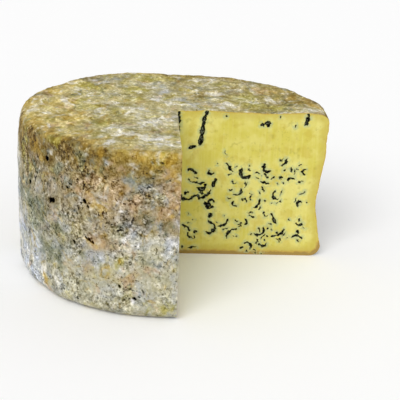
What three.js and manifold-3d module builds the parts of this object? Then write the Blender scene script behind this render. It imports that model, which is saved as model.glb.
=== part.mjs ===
// A wheel of blue cheese with a quarter cut out of it: one solid, with a rounded rim, an uneven rind with
// small pits, and two upright cut faces that show the hollows of the blue mould and the tracks of the needles
// that pierced it. Millimetres, +Z up. The wheel rests on its flat underside at z = 0. The notch opens
// towards +X and -Y.
import * as THREE from "three";
import { mergeVertices } from "three/addons/utils/BufferGeometryUtils.js";
import Module from "manifold-3d";

const wasm = await Module();
wasm.setup();

// Driving dimensions
const RADIUS = 100;
const HEIGHT = 99;
const TOP_ROUNDING = 4;
const BOTTOM_ROUNDING = 7.5;

// The cheese runs anticlockwise from the far cut to the near cut, in degrees from +X.
const FAR_CUT = 2;
const NEAR_CUT = 272;

// How finely the skin is divided
const COLUMNS = 90;
const SIDE_ROWS = 13;
const RIM_ROWS = 3;
const DISC_RINGS = 7;

const COLOURS = { rind: 0xada184 };

// The veins drawn by lot on each face: their count, the seed of their lots, and how far out they start
const FAR_LOTS = { count: 22, seed: 76, from: 33 };
const NEAR_LOTS = { count: 14, seed: 30, from: 5 };

const degrees = (angle) => (angle * Math.PI) / 180;

// Bell curve, 1 at the middle and near 0 beyond two widths.
const bell = (distance, width) => Math.exp(-((distance / width) ** 2));

// How far the rind stands out from a true cylinder at an azimuth and a height: the wheel is a little oval,
// its middle lies off the corner of the notch, its side undulates and has fine lumps, it is waisted by the
// far cut, and its edges are worn on the side away from the notch.
const LOBES = [
  { count: 1, size: 1.5, towards: 130 },
  { count: 2, size: 2.2, towards: 54 },
  { count: 5, size: 0.3, towards: 23 },
];
const WAIST = { depth: 4.4, azimuth: 5, spread: 38, lift: 0.05 };
const WORN_SIDES = [
  { depth: 1.7, azimuth: 180, spread: 40, height: HEIGHT, reach: 24 },
  { depth: 0.7, azimuth: 188, spread: 35, height: 0, reach: 14 },
];
const SIDE_LUMP = 0.35;

function bulge(azimuth, height) {
  const share = height / HEIGHT;
  const turn = degrees(azimuth);
  const lobes = LOBES.reduce(
    (sum, lobe) => sum + lobe.size * Math.cos(lobe.count * (turn - degrees(lobe.towards))), 0);
  const waves = 0.4 * Math.sin(8 * share + 2 * turn + 2.2) + 0.3 * Math.sin(13 * share - 3 * turn);
  const lumps = SIDE_LUMP * Math.sin(11 * turn + 9 * share) * Math.sin(19 * share - 5 * turn + 1);
  const waist = -WAIST.depth * bell(azimuth - WAIST.azimuth, WAIST.spread)
    * (0.5 - 0.5 * Math.cos(2 * Math.PI * (share + WAIST.lift)));
  const wear = (spot) =>
    spot.depth * bell(azimuth - spot.azimuth, spot.spread) * bell(height - spot.height, spot.reach);
  const worn = WORN_SIDES.reduce((sum, spot) => sum + wear(spot), 0);
  return lobes + waves + lumps + waist - worn;
}

// How much higher than HEIGHT the top is at a place: it is dished, slopes down to the back, undulates and has
// fine lumps. Its rim dips at the back, and is worn rounder away from the notch and by the far cut.
const DISH = 1.8;
const LEAN = { x: -0.66, y: -2.57, twist: -0.98 };
const TOP_LUMP = 0.3;
const BACK_DIP = { depth: 1.3, azimuth: 92, spread: 20, radius: 95, width: 25 };
const WORN_RIMS = [
  { depth: 1.8, azimuth: 184, spread: 32, width: 14 },
  { depth: 3.2, azimuth: 2, spread: 9, width: 14 },
];

function swell(x, y, azimuth, radius) {
  const [across, along] = [x / RADIUS, y / RADIUS];
  const dished = DISH * (across ** 2 + along ** 2);
  const leaning = LEAN.x * across + LEAN.y * along + LEAN.twist * across * along;
  const waves = 0.35 * Math.sin(x / 17 + 1) * Math.cos(y / 21) + 0.2 * Math.sin(x / 9 - y / 11);
  const lumps = TOP_LUMP * Math.sin(x / 6 + y / 9) * Math.sin(y / 7 - x / 12);
  const dip = BACK_DIP.depth * bell(azimuth - BACK_DIP.azimuth, BACK_DIP.spread)
    * bell(radius - BACK_DIP.radius, BACK_DIP.width);
  const outward = (width) => Math.max(0, 1 - (RADIUS - radius) / width);
  const wear = (spot) => spot.depth * outward(spot.width) ** 2 * bell(azimuth - spot.azimuth, spot.spread);
  const worn = WORN_RIMS.reduce((sum, spot) => sum + wear(spot), 0);
  return dished + leaning + waves + lumps - dip - worn;
}

// Turns a place in the true rounded cylinder into its place in the uneven wheel.
function place(radius, azimuth, height) {
  const reach = radius + (radius / RADIUS) ** 2 * bulge(azimuth, height);
  const x = reach * Math.cos(degrees(azimuth));
  const y = reach * Math.sin(degrees(azimuth));
  return new THREE.Vector3(x, y, height * (1 + swell(x, y, azimuth, radius) / HEIGHT));
}

// The true cylinder's section, from the middle of the underside round the rim to the middle of the top.
function section() {
  const stations = [];
  const bottomReach = RADIUS - BOTTOM_ROUNDING;
  const topReach = RADIUS - TOP_ROUNDING;
  for (let i = 0; i < DISC_RINGS; i++) stations.push([(bottomReach * i) / DISC_RINGS, 0]);
  for (let i = 0; i <= RIM_ROWS; i++) {
    const turn = (Math.PI / 2) * (i / RIM_ROWS);
    stations.push([bottomReach + BOTTOM_ROUNDING * Math.sin(turn), BOTTOM_ROUNDING * (1 - Math.cos(turn))]);
  }
  for (let i = 1; i < SIDE_ROWS; i++) {
    const low = BOTTOM_ROUNDING;
    const high = HEIGHT - TOP_ROUNDING;
    stations.push([RADIUS, low + ((high - low) * i) / SIDE_ROWS]);
  }
  for (let i = 0; i <= RIM_ROWS; i++) {
    const turn = (Math.PI / 2) * (i / RIM_ROWS);
    stations.push([topReach + TOP_ROUNDING * Math.cos(turn), HEIGHT - TOP_ROUNDING * (1 - Math.sin(turn))]);
  }
  for (let i = DISC_RINGS - 1; i >= 0; i--) stations.push([(topReach * i) / DISC_RINGS, HEIGHT]);
  return stations;
}

// Gives an indexed list of points and triangles as a solid that can be joined and cut.
function solidFrom(points, triangles) {
  return new wasm.Manifold(
    new wasm.Mesh({
      numProp: 3,
      vertProperties: new Float32Array(points.flatMap((p) => [p.x, p.y, p.z])),
      triVerts: new Uint32Array(triangles.flat()),
    }),
  );
}

// Gives a closed three.js geometry as a solid, with shared points merged and empty triangles dropped.
function solidOf(geometry) {
  geometry.deleteAttribute("normal");
  geometry.deleteAttribute("uv");
  const merged = mergeVertices(geometry, 1e-4);
  const index = merged.index ? [...merged.index.array] : [...merged.attributes.position.array.keys()];
  const position = merged.attributes.position;
  const points = [];
  for (let i = 0; i < position.count; i++) points.push(new THREE.Vector3().fromBufferAttribute(position, i));
  const triangles = [];
  for (let i = 0; i < index.length; i += 3) {
    const [a, b, c] = index.slice(i, i + 3);
    if (a !== b && b !== c && c !== a) triangles.push([a, b, c]);
  }
  return solidFrom(points, triangles);
}

// The whole uneven wheel without its quarter. Rings of points run from the far cut to the near cut, one for
// each station of the section, with fewer points near the middle of the top and the underside.
function wheelSolid() {
  const points = [];
  const triangles = [];
  const rings = section().map(([radius, height]) => {
    const steps = radius === 0 ? 0 : Math.max(3, Math.round((COLUMNS * radius) / RADIUS));
    const ring = [];
    for (let i = 0; i <= steps; i++) {
      const share = steps === 0 ? 0 : i / steps;
      ring.push(points.length);
      points.push(place(radius, FAR_CUT + (NEAR_CUT - FAR_CUT) * share, height));
    }
    return ring;
  });
  for (let k = 0; k + 1 < rings.length; k++) {
    const [below, above] = [rings[k], rings[k + 1]];
    let [i, j] = [0, 0];
    while (i + 1 < below.length || j + 1 < above.length) {
      const belowNext = below.length > 1 ? (i + 1) / (below.length - 1) : 2;
      const aboveNext = above.length > 1 ? (j + 1) / (above.length - 1) : 2;
      if (belowNext <= aboveNext) {
        triangles.push([below[i], below[i + 1], above[j]]);
        i += 1;
      } else {
        triangles.push([below[i], above[j + 1], above[j]]);
        j += 1;
      }
    }
  }
  for (const nearFace of [false, true]) {
    const edge = rings.map((ring) => (nearFace ? ring.at(-1) : ring[0]));
    const outline = edge.map((n) => new THREE.Vector2(Math.hypot(points[n].x, points[n].y), points[n].z));
    for (const [a, b, c] of THREE.ShapeUtils.triangulateShape(outline, [])) {
      triangles.push(nearFace ? [edge[a], edge[c], edge[b]] : [edge[a], edge[b], edge[c]]);
    }
  }
  return solidFrom(points, triangles);
}

// A vein starts at a place on a cut face, out from the corner of the notch and up from the base, and runs for
// its length in its heading (0 outwards, 90 upwards), turning by its bend. Its radius is half its width, and
// also its depth.
const vein = (out, up, length, heading, bend, radius) => ({ out, up, length, heading, bend, radius });

// Veins of the far face, with the dense group near the corner of the notch
const FAR_VEINS = [
  vein(8, 58.4, 7, 40, -90, 1.2),
  vein(21.8, 59.6, 5.5, -100, 120, 1),
  vein(8.2, 52.8, 5.5, -35, 40, 1),
  vein(13.4, 51.2, 7, -35, 75, 1.1),
  vein(15.6, 46, 4.4, 0, 10, 1.8),
  vein(23.4, 46, 8.5, -95, -75, 1),
  vein(8.8, 43.7, 12, -165, 190, 1),
  vein(10.9, 39.3, 6.5, 60, -95, 1),
  vein(20, 35.9, 4.4, -15, 0, 1.9),
  vein(22.3, 37, 5.5, 70, -140, 1),
  vein(26.5, 53.4, 6.2, -105, 0, 1.4),
  vein(25, 29.2, 3.2, -120, 0, 1.4),
  vein(22.8, 24.6, 5.6, -65, 40, 1),
  vein(25.8, 18, 2.4, -80, 0, 1.3),
  vein(21.4, 15.9, 5.2, -25, 50, 1),
  vein(6.2, 20.8, 7, -30, -45, 1),
  vein(9.9, 14.6, 4.5, -95, 85, 1),
  vein(13.6, 15.2, 2.4, 40, 0, 1.2),
  vein(10.2, 4.2, 5.6, 5, 5, 1),
  vein(8.7, 74.2, 3.6, 25, -15, 1.2),
  vein(53.8, 90.9, 2.4, 15, 0, 1.1),
  vein(56.4, 91.9, 3.6, 5, -40, 1.3),
];

// Veins of the near face, with two large dark blots
const NEAR_VEINS = [
  vein(36, 83, 4, -80, 0, 1.2),
  vein(37, 77, 13, -115, -20, 1.7),
  vein(21, 60, 8, -115, 10, 1.3),
  vein(21, 48, 5, -90, 30, 1.7),
  vein(52, 72, 11, -60, -25, 2.6),
  vein(41, 62, 6, -35, 0, 1.3),
  vein(55, 61, 9, -25, -30, 1.6),
  vein(77, 59, 6, -75, 0, 1.4),
  vein(47, 40, 6, -50, -170, 1.2),
  vein(66, 47, 8, -85, 10, 1.3),
  vein(85, 49, 9, -50, -30, 2.7),
  vein(73, 42, 6, -40, 0, 1.4),
  vein(86, 38, 7, -85, 15, 1.5),
  vein(11, 28, 5, -30, 40, 2.0),
  vein(15, 15, 6, -20, -40, 1.9),
  vein(41, 26, 8, -95, 10, 1.1),
  vein(54, 21, 4, -20, 20, 1.6),
  vein(92, 18, 9, -75, 10, 1.0),
];

// Tracks of the needles that pierced the wheel from the top, seen where a cut runs along them. They start
// above the skin, so that they open through it.
const NEEDLE_START = HEIGHT + 4;
const needle = (out, length, heading, radius) => vein(out, NEEDLE_START, length, heading, 0, radius);
const FAR_NEEDLES = [needle(1.6, 14.6, -91, 0.9), needle(19.2, 28.3, -98.1, 1.5), needle(84.9, 11, -98, 1.3)];
const NEAR_NEEDLES = [needle(63, 16, -94, 1.1)];

// The other veins are drawn by lot, at least a spacing from each other and a margin inside the rind. The lots
// come from a fixed seed, so they are the same each time.
const LOT_MODULUS = 2147483647;
const LOT_FACTOR = 16807;
const MOST_TRIES = 4000;
const MARGIN = { rind: 11, base: 8, top: 34 };
const SPACING = 11;
const DRAWN = { shortest: 4, longest: 12, bend: 200, thinnest: 1.0, thickest: 1.9 };

function lots(seed) {
  let state = seed;
  return () => {
    state = (state * LOT_FACTOR) % LOT_MODULUS;
    return state / LOT_MODULUS;
  };
}

function drawnVeins(known, { count, seed, from }) {
  const draw = lots(seed);
  const veins = [];
  for (let tries = 0; tries < MOST_TRIES && veins.length < count; tries++) {
    const out = from + (RADIUS - MARGIN.rind - from) * draw();
    const up = MARGIN.base + (HEIGHT - MARGIN.top - MARGIN.base) * draw();
    const [size, turn, curl] = [draw(), draw(), draw()];
    const near = (other) => Math.hypot(other.out - out, other.up - up) < SPACING;
    if (known.some(near) || veins.some(near)) continue;
    const length = DRAWN.shortest + (DRAWN.longest - DRAWN.shortest) * size;
    const radius = DRAWN.thinnest + (DRAWN.thickest - DRAWN.thinnest) * size * curl;
    veins.push(vein(out, up, length, 360 * turn, DRAWN.bend * (2 * curl - 1), radius));
  }
  return veins;
}

// The hollow of one vein: a spindle, bent along its arc in the plane of the cut face. Its section is given as
// its width at shares of its length.
const SPINDLE = [[0, 0], [0.75, 0.14], [1, 0.42], [0.8, 0.78], [0, 1]];
const SPINDLE_SIDES = 7;

function veinSolid(shape, azimuth) {
  const profile = SPINDLE.map(([width, share]) => new THREE.Vector2(width * shape.radius, share));
  const geometry = new THREE.LatheGeometry(profile, SPINDLE_SIDES);
  const out = new THREE.Vector3(Math.cos(degrees(azimuth)), Math.sin(degrees(azimuth)), 0);
  const up = new THREE.Vector3(0, 0, 1);
  const across = new THREE.Vector3().crossVectors(up, out);
  const position = geometry.attributes.position;
  for (let i = 0; i < position.count; i++) {
    const share = position.getY(i);
    const spot = alongVein(shape, share);
    const side = position.getX(i);
    const point = out.clone().multiplyScalar(spot.out - side * Math.sin(spot.heading));
    point.addScaledVector(up, spot.up + side * Math.cos(spot.heading));
    point.addScaledVector(across, position.getZ(i));
    position.setXYZ(i, point.x, point.y, point.z);
  }
  return solidOf(geometry);
}

// The place and heading at a share of a vein's length, on an arc that turns by its bend.
function alongVein(shape, share) {
  const start = degrees(shape.heading);
  const turned = degrees(shape.bend) * share;
  if (Math.abs(shape.bend) < 1) {
    const run = shape.length * share;
    return { out: shape.out + run * Math.cos(start), up: shape.up + run * Math.sin(start), heading: start };
  }
  const radius = shape.length / degrees(shape.bend);
  return {
    out: shape.out + radius * (Math.sin(start + turned) - Math.sin(start)),
    up: shape.up - radius * (Math.cos(start + turned) - Math.cos(start)),
    heading: start + turned,
  };
}

// Small round pits in the rind, by azimuth, height and radius
const PITS = [
  [222, 85, 1.7],
  [224.9, 61.7, 1.7],
  [226.2, 62.2, 1.8],
  [239.6, 66.6, 1.6],
  [240.9, 64, 1.3],
  [238, 65, 1.1],
  [232.4, 72, 1.3],
  [234, 74.2, 1.1],
  [240.3, 45.7, 1.2],
  [241.5, 44.7, 1.5],
  [242.8, 43.5, 1.4],
  [235.6, 40.6, 1.4],
  [252.6, 19.8, 1.4],
  [257.6, 13.2, 1.5],
  [259.4, 14.4, 1.1],
  [211, 65.4, 1.6],
  [219, 70, 1.1],
  [188, 52, 1.8],
  [160, 70, 1.6],
  [131, 33, 2.0],
  [96, 58, 1.7],
  [64, 24, 1.9],
  [33, 66, 2.2],
];

function pitSolid([azimuth, height, radius]) {
  const middle = place(RADIUS, azimuth, height);
  return solidOf(new THREE.IcosahedronGeometry(radius, 1).translate(middle.x, middle.y, middle.z));
}

function geometryOf(solid) {
  const mesh = solid.getMesh();
  const geometry = new THREE.BufferGeometry();
  geometry.setAttribute("position", new THREE.BufferAttribute(new Float32Array(mesh.vertProperties), 3));
  geometry.setIndex(new THREE.BufferAttribute(new Uint32Array(mesh.triVerts), 1));
  geometry.computeVertexNormals();
  return geometry;
}

function cheeseWheel() {
  const farVeins = [...FAR_VEINS, ...FAR_NEEDLES, ...drawnVeins(FAR_VEINS, FAR_LOTS)];
  const nearVeins = [...NEAR_VEINS, ...NEAR_NEEDLES, ...drawnVeins(NEAR_VEINS, NEAR_LOTS)];
  let solid = wheelSolid();
  for (const shape of farVeins) solid = solid.subtract(veinSolid(shape, FAR_CUT));
  for (const shape of nearVeins) solid = solid.subtract(veinSolid(shape, NEAR_CUT));
  for (const pit of PITS) solid = solid.subtract(pitSolid(pit));
  const geometry = geometryOf(solid);
  const material = new THREE.MeshStandardMaterial({ color: COLOURS.rind, roughness: 0.85, metalness: 0 });
  const mesh = new THREE.Mesh(geometry, material);
  mesh.name = "cheese_wheel";
  geometry.computeBoundingBox();
  const middle = geometry.boundingBox.getCenter(new THREE.Vector3());
  mesh.position.set(-middle.x, -middle.y, 0);
  return mesh;
}

const cheese = new THREE.Group();
cheese.add(cheeseWheel());

export default cheese;
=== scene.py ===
import math

import bpy
import numpy as np
from mathutils import Matrix, Vector, geometry


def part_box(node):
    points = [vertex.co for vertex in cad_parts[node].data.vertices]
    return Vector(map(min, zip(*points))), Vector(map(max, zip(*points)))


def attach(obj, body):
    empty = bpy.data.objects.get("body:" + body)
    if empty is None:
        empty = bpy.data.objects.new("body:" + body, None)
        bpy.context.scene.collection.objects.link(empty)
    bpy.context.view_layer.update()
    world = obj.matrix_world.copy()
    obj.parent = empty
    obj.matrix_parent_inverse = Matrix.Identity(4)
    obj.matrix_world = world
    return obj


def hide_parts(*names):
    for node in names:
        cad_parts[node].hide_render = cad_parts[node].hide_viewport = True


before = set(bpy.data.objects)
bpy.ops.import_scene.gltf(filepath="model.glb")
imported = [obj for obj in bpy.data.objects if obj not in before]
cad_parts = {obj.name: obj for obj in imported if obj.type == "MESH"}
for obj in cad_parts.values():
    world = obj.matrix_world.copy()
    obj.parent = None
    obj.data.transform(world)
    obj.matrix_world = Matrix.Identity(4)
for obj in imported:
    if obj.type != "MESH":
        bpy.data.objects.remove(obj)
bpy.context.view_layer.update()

# A wheel of blue cheese with a quarter cut out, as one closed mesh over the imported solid. Lengths are in
# millimetres, azimuths in degrees from +X, and the mesh is turned into metres when it is made.

METRE = 1000

# The form of the wheel, as in the solid
RADIUS = 100
HEIGHT = 99
TOP_ROUNDING = 4
BOTTOM_ROUNDING = 7.5
FAR_CUT = 2
NEAR_CUT = 272

LOBES = ((1, 1.5, 130), (2, 2.2, 54), (5, 0.3, 23))
WAIST = {"depth": 4.4, "azimuth": 5, "spread": 38, "lift": 0.05}
WORN_SIDES = (
    {"depth": 1.7, "azimuth": 180, "spread": 40, "height": HEIGHT, "reach": 24},
    {"depth": 0.7, "azimuth": 188, "spread": 35, "height": 0, "reach": 14},
)
SIDE_WAVES = ((0.4, 8, 2, 2.2), (0.3, 13, -3, 0))
SIDE_LUMP = 0.35
DISH = 1.8
LEAN = {"x": -0.66, "y": -2.57, "twist": -0.98}
TOP_LUMP = 0.3
BACK_DIP = {"depth": 1.3, "azimuth": 92, "spread": 20, "radius": 95, "width": 25}
WORN_RIMS = (
    {"depth": 1.8, "azimuth": 184, "spread": 32, "width": 14},
    {"depth": 3.2, "azimuth": 2, "spread": 9, "width": 14},
)


def bell(distance, width):
    """Bell curve, 1 at the middle and near 0 beyond two widths."""
    return np.exp(-((distance / width) ** 2))


def bulge(azimuth, height):
    """How far the rind stands out from a true cylinder."""
    share = height / HEIGHT
    turn = np.radians(azimuth)
    lobes = sum(size * np.cos(count * (turn - math.radians(towards))) for count, size, towards in LOBES)
    waves = sum(size * np.sin(up * share + around * turn + start) for size, up, around, start in SIDE_WAVES)
    lumps = SIDE_LUMP * np.sin(11 * turn + 9 * share) * np.sin(19 * share - 5 * turn + 1)
    waisted = 0.5 - 0.5 * np.cos(2 * math.pi * (share + WAIST["lift"]))
    waist = -WAIST["depth"] * bell(azimuth - WAIST["azimuth"], WAIST["spread"]) * waisted
    worn = 0
    for spot in WORN_SIDES:
        beside = bell(azimuth - spot["azimuth"], spot["spread"])
        worn = worn + spot["depth"] * beside * bell(height - spot["height"], spot["reach"])
    return lobes + waves + lumps + waist - worn


def swell(x, y, azimuth, radius):
    """How much higher than HEIGHT the top is at a place."""
    across, along = x / RADIUS, y / RADIUS
    dished = DISH * (across**2 + along**2)
    leaning = LEAN["x"] * across + LEAN["y"] * along + LEAN["twist"] * across * along
    waves = 0.35 * np.sin(x / 17 + 1) * np.cos(y / 21) + 0.2 * np.sin(x / 9 - y / 11)
    lumps = TOP_LUMP * np.sin(x / 6 + y / 9) * np.sin(y / 7 - x / 12)
    dip = BACK_DIP["depth"] * bell(azimuth - BACK_DIP["azimuth"], BACK_DIP["spread"])
    dip = dip * bell(radius - BACK_DIP["radius"], BACK_DIP["width"])
    worn = 0
    for spot in WORN_RIMS:
        outward = np.maximum(0, 1 - (RADIUS - radius) / spot["width"])
        worn = worn + spot["depth"] * outward**2 * bell(azimuth - spot["azimuth"], spot["spread"])
    return dished + leaning + waves + lumps - dip - worn


def place(radius, azimuth, height):
    """Turns places in the true rounded cylinder into their places in the uneven wheel."""
    reach = radius + (radius / RADIUS) ** 2 * bulge(azimuth, height)
    x = reach * np.cos(np.radians(azimuth))
    y = reach * np.sin(np.radians(azimuth))
    z = height * (1 + swell(x, y, azimuth, radius) / HEIGHT)
    return np.column_stack([x, y, z])


# Grain: smooth noise in three dimensions from numbers that belong to the places of a lattice

PRIMES = (73856093, 19349663, 83492791)
SEED_PRIME = 2654435761


def lattice(cells, seed):
    """A number from -1 to 1 for each lattice cell, the same each run."""
    mixed = seed * SEED_PRIME
    for axis, prime in enumerate(PRIMES):
        mixed = mixed ^ cells[..., axis] * prime
    mixed = (mixed ^ (mixed >> 15)) * 2246822519 & 0xFFFFFFFF
    mixed = (mixed ^ (mixed >> 13)) * 3266489917 & 0xFFFFFFFF
    return ((mixed ^ (mixed >> 16)) & 0xFFFFFF) / 0x7FFFFF - 1


def grain(points, size, seed):
    """Noise from -1 to 1 at points, with bumps about as wide as size."""
    scaled = points / size
    cell = np.floor(scaled).astype(np.int64)
    inside = scaled - cell
    blend = inside**3 * (inside * (inside * 6 - 15) + 10)
    total = np.zeros(points.shape[:-1])
    for corner in range(8):
        step = np.array([corner & 1, corner >> 1 & 1, corner >> 2 & 1])
        weight = np.prod(np.where(step == 1, blend, 1 - blend), axis=-1)
        total += weight * lattice(cell + step, seed)
    return total


def rough_grain(points, size, seed, octaves=3):
    """Several sizes of grain, each half as wide and half as strong as the one before."""
    return sum(0.5**k * grain(points, size / 2**k, seed + k) for k in range(octaves))


# Veins: curves on a cut face, out from the corner of the notch and up from the base

LOT_MODULUS = 2147483647
LOT_FACTOR = 16807
MOST_TRIES = 4000
MARGIN = {"rind": 11, "base": 8, "top": 34}
SPACING = 11
DRAWN = {"length": (4, 12), "bend": 200, "radius": (1.0, 1.9)}
FAR_LOTS = {"count": 22, "seed": 76, "from_out": 33}
NEAR_LOTS = {"count": 14, "seed": 30, "from_out": 5}
NEEDLE_START = HEIGHT + 4
ARC_STEPS = 8
FIELD_REACH = 6.0
VEIN_DEPTH = 1.4
PALE_REACH = 0.6

# The mould fills only this share of a drawn vein's hollow.
SHOWN_WIDTH = 0.75

# The short curls and flecks around each drawn vein
FLECKS = {"count": 5, "gap": (2, 7.5), "clear": 1.6}
FLECK = {"length": (0.4, 4.4), "bend": 160, "radius": (0.24, 0.69)}

# How far a vein's outline strays, and the width of the waves in which it does
STRAYS = ((0.3, 4), (0.45, 1.3))


def arc(out, up, length, heading, bend, radius):
    """A vein that runs from a place in its heading (0 outwards, 90 upwards), turning by its bend."""
    start = math.radians(heading)
    angles = start + math.radians(bend) * np.linspace(0, 1, ARC_STEPS + 1)
    step = length / ARC_STEPS
    outs = out + step * (np.cumsum(np.cos(angles)) - math.cos(start))
    ups = up + step * (np.cumsum(np.sin(angles)) - math.sin(start))
    return {"path": np.column_stack([outs, ups]), "radius": radius, "place": (out, up)}


def curve(radius, *places):
    """A vein through places, on a smooth line."""
    corners = np.array([places[0], *places, places[-1]], float)
    path = []
    for k in range(1, len(corners) - 2):
        before, here, there, after = corners[k - 1:k + 3]
        for t in (0, 0.25, 0.5, 0.75):
            path.append(
                0.5 * (2 * here + (there - before) * t + (2 * before - 5 * here + 4 * there - after) * t**2
                       + (3 * here - before - 3 * there + after) * t**3)
            )
    path.append(corners[-1])
    return {"path": np.array(path), "radius": radius, "place": tuple(places[0])}


def curves(*rows):
    """A vein for each row of a radius and places."""
    return [curve(*row) for row in rows]


FAR_VEINS = curves(
    (0.95, (8.2, 58.8), (9.6, 59.7), (11.2, 59.1), (12.6, 58), (13.9, 57.1)),
    (0.45, (12.5, 54.9), (14, 53.8), (15.1, 53.7)),
    (0.8, (21.8, 59.4), (21.8, 57.9), (22.7, 56.8), (24.2, 56.5), (25, 57.2)),
    (0.5, (8.4, 52.6), (10, 51.6), (11.5, 51.2), (13, 51.4)),
    (0.9, (13.6, 50.9), (15, 50), (16.6, 49.6), (18, 50.1), (19.8, 51)),
    (1.7, (16.4, 46.2), (18, 45.8), (19.2, 46.8)),
    (0.7, (14.6, 46.7), (16.4, 46.7), (18.6, 47.2), (19.6, 48.5), (20.4, 49.2)),
    (0.6, (16.7, 43.3), (18, 43), (19, 43.4)),
    (0.95, (23.3, 45.8), (22.9, 44), (22.1, 42.7), (20.6, 41.8), (19, 41), (17.2, 40.1), (16.4, 39.4)),
    (1.1, (18.4, 40.7), (19.4, 40)),
    (0.9, (8.8, 43.7), (7.6, 43.3), (6.4, 42.5)),
    (1.1, (4.7, 41.6), (4.5, 40.2), (5.6, 39.2), (7.2, 38.8), (9, 38.8), (10.9, 39.3)),
    (0.9, (10.4, 39.1), (12, 40.5), (13.6, 41.6), (15.2, 41.3), (16.4, 40.4)),
    (1.7, (20.3, 35.9), (22, 35.2), (23.5, 34.9)),
    (0.95, (22.3, 36.8), (22.8, 38), (24, 38.7), (25.4, 38.5), (26.2, 37.4)),
    (0.7, (20.6, 34.2), (22.4, 33.1), (24.4, 33), (25.8, 34.2)),
    (1.3, (26.4, 53), (26, 51), (25.2, 49.4), (24.6, 47.8)),
    (1.3, (24.9, 28.9), (24.3, 27.9), (23.5, 27)),
    (0.75, (22.9, 24.4), (23.9, 22.8), (25.4, 22), (26.8, 20.4), (27.4, 18.4), (26.8, 17)),
    (1.2, (25.8, 17.6), (26.4, 16.4)),
    (0.7, (21.5, 15.8), (23, 15), (24.9, 14.7), (26.2, 15.5)),
    (0.7, (6.3, 20.8), (7, 19.6), (8.6, 19.2), (9.9, 18.8), (10.3, 17.4), (11, 16.3)),
    (0.65, (10, 15.2), (9.7, 13.6), (10.2, 12), (11.6, 11.4), (12.8, 11.2)),
    (0.45, (14.2, 12.8), (14, 11)),
    (1.1, (13.9, 15.4), (15, 16.3)),
    (0.5, (6, 5.4), (6.3, 3.8)),
    (0.6, (10.4, 4), (12, 4.3), (13.6, 4.9), (15.6, 5)),
    (0.35, (9.2, 28.6), (10, 28.4)),
    (0.35, (12.6, 24.6), (13.5, 24.5)),
    (0.35, (9.6, 22), (10.8, 21.9)),
    (1.1, (8.8, 74.3), (10.2, 75.2), (12, 75.6)),
    (1.1, (54.3, 91), (55.3, 91.3)),
    (1.6, (56.4, 92), (58.8, 92), (58.8, 90.4)),
    (0.5, (31, 96.2), (31.6, 96.9)),
    (0.5, (66, 96.4), (66.8, 96.7)),
    (0.4, (76.5, 91.6), (76.2, 89.6)),
)

# The tracks of needles that pierced the wheel from the top
FAR_NEEDLES = curves(
    (1.3, (0.4, NEEDLE_START), (0.8, 98), (1.1, 94.5), (1.4, 91.4)),
    (0.4, (1.5, 89.5), (1.9, 85.4)),
    (0.85, (20.2, NEEDLE_START), (19.2, 99), (18, 96), (17.3, 94)),
    (1.5, (17.7, 96), (16.9, 92), (16.6, 88), (16.3, 84)),
    (1.5, (16.4, 86), (16.2, 82.6), (15.6, 79), (15.1, 76)),
    (0.8, (84.7, NEEDLE_START), (84.3, 98), (83.9, 95.6)),
    (1.5, (84, 96), (83.6, 94), (83.3, 92.4)),
)

NEAR_VEINS = curves(
    (1.1, (36, 84), (36.5, 81.5), (36, 79)),
    (1.4, (38, 77), (36, 74), (34.5, 71)),
    (1.3, (33, 70), (31, 66.5), (30, 64.5)),
    (0.8, (13, 65.5), (14.5, 63.5)),
    (1.2, (21, 60), (19.5, 56.5), (17, 52.5)),
    (1.8, (21, 48), (21.5, 45), (20, 42.5)),
    (2.4, (52, 73), (54, 70), (55.5, 66.5), (58, 63)),
    (1.6, (56, 70), (60, 67), (63, 66)),
    (1.2, (42, 62), (46, 60.5), (50, 58.5)),
    (1.5, (55, 61), (59, 58.5), (63, 56)),
    (1.1, (68, 63), (66, 58), (69, 54)),
    (1.2, (77, 59.5), (78.5, 55), (77, 52)),
    (0.9, (46, 39.5), (48.5, 40.5), (50, 38), (48, 36), (46, 37.5)),
    (1.1, (66, 47.5), (67, 43), (66, 40)),
    (2.6, (85, 49.5), (88, 46.5), (92, 43)),
    (1.4, (90, 44), (93, 39)),
    (1.2, (72, 41.5), (76, 38.8)),
    (1.4, (86, 38), (87, 34), (86, 31)),
    (1.7, (10, 29.5), (13, 27), (15.5, 25.5)),
    (1.3, (13, 30.5), (12.5, 26), (11, 23.5)),
    (1.7, (14, 16), (17, 13.5), (19, 10.5)),
    (1.0, (41, 26), (40.5, 22), (40, 18)),
    (1.4, (53.5, 21.5), (56.5, 19.5)),
    (0.9, (92, 18), (93.5, 13), (96, 8)),
)
NEAR_NEEDLES = [arc(63, NEEDLE_START, 16, -94, 0, 1.1)]


def lots(seed):
    """Draws numbers from 0 to 1 by a fixed rule, so that they are the same each run."""
    state = seed
    while True:
        state = state * LOT_FACTOR % LOT_MODULUS
        yield state / LOT_MODULUS


def part_way(limits, share):
    """The value that is a share of the way from one limit to the other."""
    low, high = limits
    return low + (high - low) * share


def drawn_veins(known, count, seed, from_out):
    """More veins, drawn by lot at a spacing from each other and from the known ones."""
    draw = lots(seed)
    outs, ups = (from_out, RADIUS - MARGIN["rind"]), (MARGIN["base"], HEIGHT - MARGIN["top"])
    veins = []
    tries = 0
    while tries < MOST_TRIES and len(veins) < count:
        tries += 1
        out, up = part_way(outs, next(draw)), part_way(ups, next(draw))
        size, turn, curl = next(draw), next(draw), next(draw)
        if any(math.dist(other["place"], (out, up)) < SPACING for other in known + veins):
            continue
        length, radius = part_way(DRAWN["length"], size), part_way(DRAWN["radius"], size * curl)
        veins.append(arc(out, up, length, 360 * turn, DRAWN["bend"] * (2 * curl - 1), SHOWN_WIDTH * radius))
    return veins


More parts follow.
